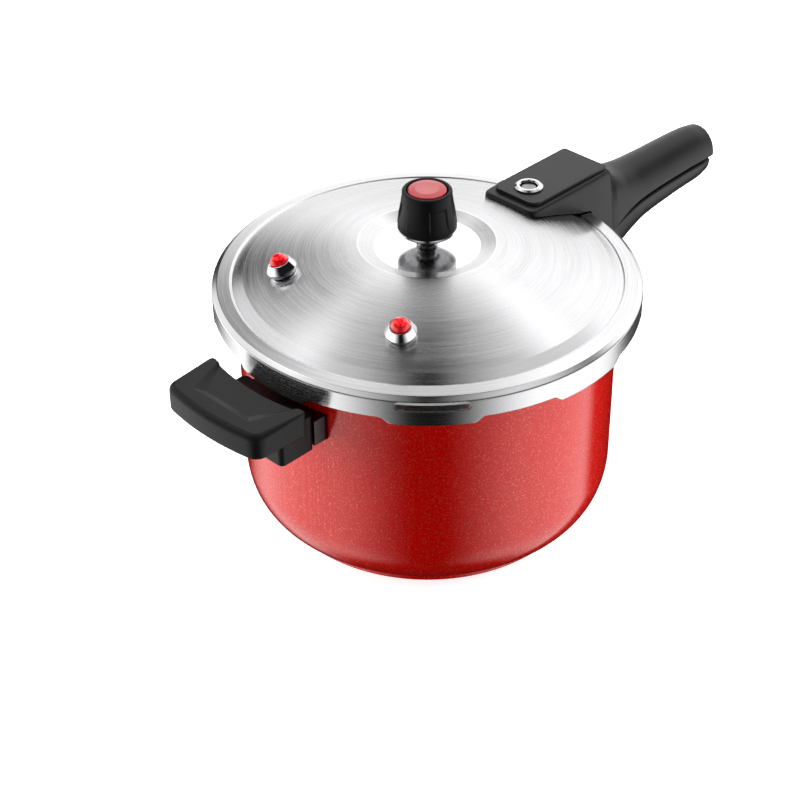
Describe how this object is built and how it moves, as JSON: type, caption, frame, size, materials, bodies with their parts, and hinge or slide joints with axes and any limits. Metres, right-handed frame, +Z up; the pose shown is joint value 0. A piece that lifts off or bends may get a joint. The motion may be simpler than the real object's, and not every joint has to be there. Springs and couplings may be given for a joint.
{
  "type": "pressure cooker",
  "caption": "Round red pot with a domed steel bayonet lid, a long two-part handle, a short side handle, a weighted pressure valve and small safety valves.",
  "frame": {"origin": "centre of the base's underside, on the pot's axis, where it rests on the hob", "axes": "+Z up along the pot's axis, +X along the long handle away from the pot, the short handle points along -X"},
  "size_m": [0.438, 0.2518, 0.2117],
  "materials": {
    "red_coated_steel": "deep red gloss enamel with fine gold metallic flecks",
    "brushed_lid_steel": "stainless steel, turned brushing",
    "plain_steel": "plain formed steel",
    "polished_steel": "bright polished turned steel",
    "spreader_aluminium": "plain aluminium plate",
    "black_handle": "matte moulded thermoset with fine grain",
    "black_knob": "satin moulded thermoset",
    "red_insert": "glossy red moulding",
    "silicone": "translucent grey silicone rubber"
  },
  "bodies": {
    "pot": {"pot_body": "red_coated_steel", "base_core": "spreader_aluminium", "base_cap": "red_coated_steel", "pot_handle_bracket": "plain_steel", "lower_handle": "black_handle", "lower_handle_screw": "plain_steel", "helper_bracket": "plain_steel", "helper_handle": "black_handle", "helper_handle_screw": "plain_steel"},
    "seal": {"sealing_ring": "silicone"},
    "lid": {"lid_shell": "brushed_lid_steel", "lid_handle_bracket": "plain_steel", "lid_handle": "black_handle", "handle_cover_plate": "black_handle", "lid_handle_screw": "plain_steel", "float_eyelet": "polished_steel", "vent_pipe": "polished_steel", "vent_gasket": "silicone", "vent_nut": "plain_steel", "anti_clog_cover": "plain_steel", "safety_valve_body_1": "polished_steel", "safety_valve_seal_1": "silicone", "safety_valve_nut_1": "plain_steel", "safety_valve_body_2": "polished_steel", "safety_valve_seal_2": "silicone", "safety_valve_nut_2": "plain_steel"},
    "weight": {"weight_core": "plain_steel", "weight_ring": "polished_steel", "weight_shell": "black_knob", "weight_badge": "red_insert"},
    "float_valve": {"float_pin": "polished_steel", "float_seal": "silicone", "float_clip": "plain_steel"},
    "lock": {"lock_slide": "plain_steel", "lock_spring": "plain_steel"},
    "safety_plunger_1": {"safety_valve_plunger_1": "plain_steel", "safety_valve_cap_1": "red_insert", "safety_valve_spring_1": "plain_steel"},
    "safety_plunger_2": {"safety_valve_plunger_2": "plain_steel", "safety_valve_cap_2": "red_insert", "safety_valve_spring_2": "plain_steel"}
  },
  "joints": [
    {"name": "lid_lift", "type": "slide", "parent": "pot", "child": "seal", "axis": [0, 0, 1], "range_m": [0, 0.12]},
    {"name": "lid_turn", "type": "hinge", "parent": "seal", "child": "lid", "pos_m": [0, 0, 0.15], "axis": [0, 0, 1], "range_deg": [0, 22.5]},
    {"name": "weight_lift", "type": "slide", "parent": "lid", "child": "weight", "axis": [0, 0, 1], "range_m": [0, 0.03]},
    {"name": "float_rise", "type": "slide", "parent": "lid", "child": "float_valve", "axis": [0, 0, 1], "range_m": [0, 0.0035]},
    {"name": "lock_push", "type": "slide", "parent": "lid", "child": "lock", "axis": [1, 0, 0], "range_m": [0, 0.004], "stiffness_N_per_m": 250, "springref_m": -0.004, "deforming": ["lock_spring"]},
    {"name": "safety_1_rise", "type": "slide", "parent": "lid", "child": "safety_plunger_1", "axis": [-0.2456, 0.1656, 0.9551], "range_m": [0, 0.0015], "stiffness_N_per_m": 300, "springref_m": -0.004, "deforming": ["safety_valve_spring_1"]},
    {"name": "safety_2_rise", "type": "slide", "parent": "lid", "child": "safety_plunger_2", "axis": [-0.2456, -0.1656, 0.9551], "range_m": [0, 0.0015], "stiffness_N_per_m": 300, "springref_m": -0.004, "deforming": ["safety_valve_spring_2"]}
  ]
}
